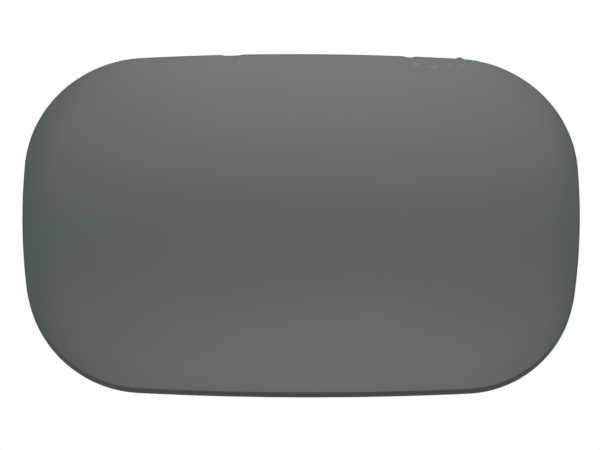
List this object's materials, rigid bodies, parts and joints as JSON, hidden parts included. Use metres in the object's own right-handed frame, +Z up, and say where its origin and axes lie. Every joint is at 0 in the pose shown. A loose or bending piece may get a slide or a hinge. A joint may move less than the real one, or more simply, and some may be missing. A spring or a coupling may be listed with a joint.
{
  "type": "car fuel door",
  "caption": "Crowned, rounded fuel door pressing with a nested inner panel, hidden spring hinge on a bolted bracket, lock tongue, rubber buffers and a rest for the fuel cap.",
  "frame": {"origin": "middle of the hinge bracket's two bolt holes, on the face that meets the car", "axes": "+X along the door from its free edge to its hinge edge, +Y inwards from the outer face to the car, +Z up along the hinge pin"},
  "size_m": [0.2, 0.03, 0.1263],
  "materials": {
    "skin_primer": "matt grey-green primer on pressed steel",
    "panel_primer": "matt grey-green primer on pressed steel",
    "hinge_primer": "matt primer on bent steel plate",
    "zinc_plate": "satin zinc plating",
    "spring_steel": "oiled dark steel",
    "nylon": "natural moulded nylon",
    "buffer_rubber": "matt black rubber",
    "rest_plastic": "fine-grained black plastic"
  },
  "bodies": {
    "hinge_mount": {"hinge_bracket": "zinc_plate", "hinge_pin": "zinc_plate", "pin_clip": "spring_steel", "spring_sleeve": "nylon", "closing_spring": "spring_steel"},
    "door": {"outer_skin": "skin_primer", "inner_panel": "panel_primer", "hinge_doubler": "hinge_primer", "hinge_arm": "hinge_primer", "arm_rivets": "hinge_primer", "upper_bush": "nylon", "lower_bush": "nylon", "lock_tongue": "zinc_plate", "tongue_rivets": "zinc_plate", "upper_buffer": "buffer_rubber", "lower_buffer": "buffer_rubber", "cap_rest": "rest_plastic"}
  },
  "joints": [
    {"name": "door_swing", "type": "hinge", "parent": "hinge_mount", "child": "door", "pos_m": [0.029, -0.0165, 0], "axis": [0, 0, 1], "range_deg": [0, 95], "stiffness_Nm_per_rad": 0.15, "springref_deg": -20.05, "deforming": ["closing_spring"]}
  ]
}
